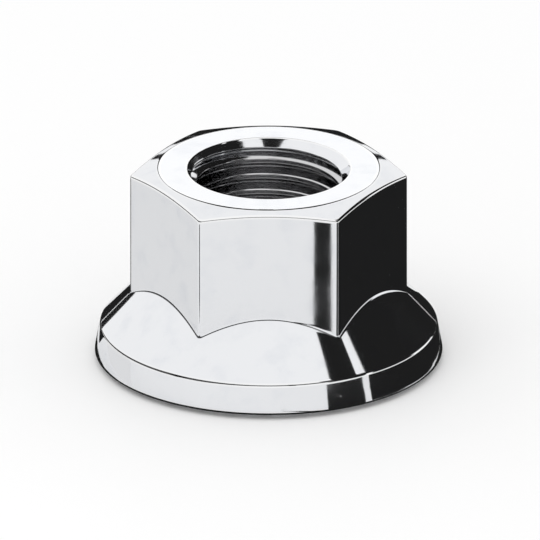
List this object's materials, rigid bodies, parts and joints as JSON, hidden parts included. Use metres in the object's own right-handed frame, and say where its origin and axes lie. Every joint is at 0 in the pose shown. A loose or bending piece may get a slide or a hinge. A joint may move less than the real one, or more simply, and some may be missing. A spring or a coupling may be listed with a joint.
{
  "type": "serrated flange nut",
  "caption": "Hexagon nut with a wide conical flange whose underside has ratchet serrations that lock it against the joint without a washer.",
  "frame": {"origin": "on the bore's axis, in the bearing plane through the crests of the serrations", "axes": "+Z along the bore, from the serrated bearing face to the wrench end; two flats of the hexagon face +Y and -Y, and two of its corners point along +X and -X"},
  "size_m": [0.026, 0.026, 0.015],
  "materials": {
    "zinc_plated_steel": "bright"
  },
  "bodies": {
    "root": {"flange_nut": "zinc_plated_steel"}
  },
  "joints": []
}
